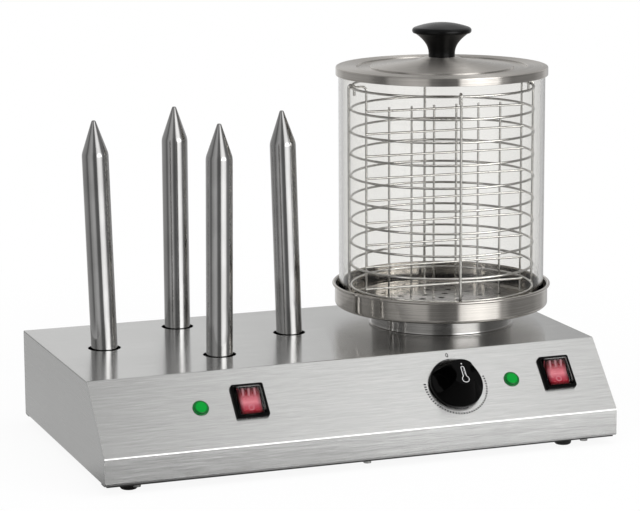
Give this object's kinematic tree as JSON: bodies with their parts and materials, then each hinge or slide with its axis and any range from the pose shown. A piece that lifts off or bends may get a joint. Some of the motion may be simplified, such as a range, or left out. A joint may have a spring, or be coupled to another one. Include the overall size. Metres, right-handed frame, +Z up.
{
  "type": "hot dog steamer",
  "caption": "Counter-top hot dog steamer: heated bun spikes and a lidded glass cylinder with a wire sausage basket in a water dish, on a low steel casing with a sloped control panel.",
  "frame": {"origin": "on the floor, under the middle of the whole object", "axes": "+X to the right along the casing, +Y to the back, +Z up"},
  "size_m": [0.5, 0.301, 0.3869],
  "materials": {
    "casing_steel": "brushed along the length",
    "polished_steel": "polished",
    "base_steel": "dull grey sheet",
    "bracket_steel": "zinc plated",
    "foot_rubber": "matt",
    "cast_aluminium": "machined casting",
    "element_steel": "heat-tinted tube",
    "clear_glass": "clear heat-resistant glass",
    "black_plastic": "gloss black moulding",
    "red_plastic": "translucent red",
    "green_plastic": "translucent green lens",
    "clear_plastic": "clear flexible cover",
    "control_plastic": "heat-resistant moulding",
    "ceramic": "glazed ceramic",
    "brass": "plain"
  },
  "bodies": {
    "housing": {"base_plate": "base_steel", "base_screws": "bracket_steel", "boiler_collar": "polished_steel", "bridge_screws": "bracket_steel", "cable_gland": "black_plastic", "casing": "casing_steel", "clamp_bar": "bracket_steel", "clamp_nut": "bracket_steel", "earth_stud": "brass", "foot_front_left": "foot_rubber", "foot_front_right": "foot_rubber", "foot_rear_left": "foot_rubber", "foot_rear_right": "foot_rubber", "foot_screws": "bracket_steel", "gland_nut": "black_plastic", "hotplate": "cast_aluminium", "hotplate_element": "element_steel", "hotplate_stud": "bracket_steel", "lamp_body_left": "control_plastic", "lamp_body_right": "control_plastic", "lamp_lens_left": "green_plastic", "lamp_lens_right": "green_plastic", "lamp_nuts": "bracket_steel", "left_end_panel": "casing_steel", "right_end_panel": "casing_steel", "spike_bridge": "bracket_steel", "spike_front": "polished_steel", "spike_heater_front": "element_steel", "spike_heater_left": "element_steel", "spike_heater_rear": "element_steel", "spike_heater_right": "element_steel", "spike_left": "polished_steel", "spike_nuts": "bracket_steel", "spike_plugs": "polished_steel", "spike_rear": "polished_steel", "spike_right": "polished_steel", "splash_cover_left": "clear_plastic", "splash_cover_right": "clear_plastic", "switch_body_left": "black_plastic", "switch_body_right": "black_plastic", "terminal_block": "ceramic", "terminal_screws": "brass", "thermal_cutout": "bracket_steel", "thermostat_body": "control_plastic", "thermostat_screws": "bracket_steel", "thermostat_sensor": "element_steel"},
    "water_pan": {"water_pan": "polished_steel"},
    "glass": {"glass_cylinder": "clear_glass"},
    "basket": {"basket_rings": "polished_steel", "basket_uprights": "polished_steel", "basket_divider": "polished_steel", "basket_floor": "polished_steel"},
    "lid": {"lid": "polished_steel", "lid_knob": "black_plastic", "lid_knob_screw": "bracket_steel"},
    "thermostat": {"thermostat_knob": "black_plastic", "thermostat_shaft": "element_steel"},
    "rocker_left": {"rocker_left": "red_plastic"},
    "rocker_right": {"rocker_right": "red_plastic"}
  },
  "joints": [
    {"name": "water_pan_lift", "type": "slide", "parent": "housing", "child": "water_pan", "axis": [0, 0, 1], "range_m": [0, 0.06]},
    {"name": "glass_lift", "type": "slide", "parent": "water_pan", "child": "glass", "axis": [0, 0, 1], "range_m": [0, 0.06]},
    {"name": "basket_lift", "type": "slide", "parent": "glass", "child": "basket", "axis": [0, 0, 1], "range_m": [0, 0.25]},
    {"name": "lid_lift", "type": "slide", "parent": "basket", "child": "lid", "axis": [0, 0, 1], "range_m": [0, 0.08]},
    {"name": "thermostat_turn", "type": "hinge", "parent": "housing", "child": "thermostat", "pos_m": [0.0966, -0.12252, 0.06415], "axis": [0, 0.7385, -0.6743], "range_deg": [0, 285]},
    {"name": "rocker_left_tip", "type": "hinge", "parent": "housing", "child": "rocker_left", "pos_m": [-0.1051, -0.12083, 0.06599], "axis": [-1, 0, 0], "range_deg": [0, 20]},
    {"name": "rocker_right_tip", "type": "hinge", "parent": "housing", "child": "rocker_right", "pos_m": [0.2008, -0.12083, 0.06599], "axis": [-1, 0, 0], "range_deg": [0, 20]}
  ]
}
